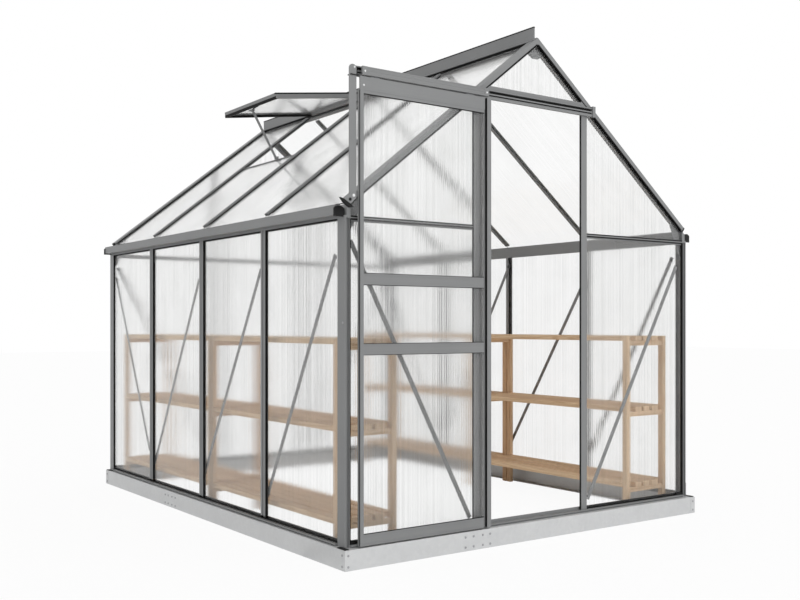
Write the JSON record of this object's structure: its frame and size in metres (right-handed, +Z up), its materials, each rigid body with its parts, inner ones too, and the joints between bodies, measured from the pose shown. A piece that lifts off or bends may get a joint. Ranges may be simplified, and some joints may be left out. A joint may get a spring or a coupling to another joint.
{
  "type": "polycarbonate greenhouse",
  "caption": "Apex-roof garden greenhouse with an aluminium frame, translucent twin-wall panes, a sliding door, an open roof vent, a steel base and slatted staging.",
  "frame": {"origin": "centre of the base's footprint, on the ground", "axes": "+X to the right seen from the door, across the gable; +Y from the door end to the rear, along the ridge; +Z up"},
  "size_m": [1.934, 2.513, 2.106],
  "materials": {
    "grey_frame": "satin powder coat",
    "galvanised_steel": "galvanised, matt",
    "twinwall_panes": "translucent, fluted",
    "black_plastic": "matt",
    "pine": "planed, bare",
    "roller_metal": "satin"
  },
  "bodies": {
    "greenhouse": {"base_front_rail": "galvanised_steel", "base_rear_rail": "galvanised_steel", "base_left_rail": "galvanised_steel", "base_right_rail": "galvanised_steel", "base_joining_plates": "galvanised_steel", "front_sill": "grey_frame", "rear_sill": "grey_frame", "side_sills": "grey_frame", "corner_posts": "grey_frame", "side_wall_bars": "grey_frame", "door_jambs": "grey_frame", "rear_gable_bars": "grey_frame", "eave_rails": "grey_frame", "gutters": "grey_frame", "gutter_end_caps": "black_plastic", "gable_eave_bars": "grey_frame", "front_gable_rafters": "grey_frame", "rear_gable_rafters": "grey_frame", "left_roof_bars": "grey_frame", "right_roof_bars": "grey_frame", "ridge": "grey_frame", "side_wall_glazing": "twinwall_panes", "left_roof_glazing": "twinwall_panes", "right_roof_glazing": "twinwall_panes", "front_gable_glazing": "twinwall_panes", "rear_gable_glazing": "twinwall_panes", "side_wall_braces": "grey_frame", "gable_braces": "grey_frame", "frame_gussets": "grey_frame", "vent_frame": "grey_frame", "vent_glazing": "twinwall_panes", "vent_sill_bar": "grey_frame", "vent_stay": "grey_frame", "door_header": "grey_frame", "door_track": "grey_frame", "track_support_post": "grey_frame", "staging_posts": "pine", "staging_rails": "pine", "staging_shelves": "pine"},
    "sliding_door": {"door_stiles": "grey_frame", "door_rails": "grey_frame", "door_top_plate": "grey_frame", "door_top_cover": "grey_frame", "door_glazing": "twinwall_panes", "door_rollers": "roller_metal"}
  },
  "joints": [
    {"name": "door_slide", "type": "slide", "parent": "greenhouse", "child": "sliding_door", "axis": [1, 0, 0], "range_m": [0, 0.555]}
  ]
}
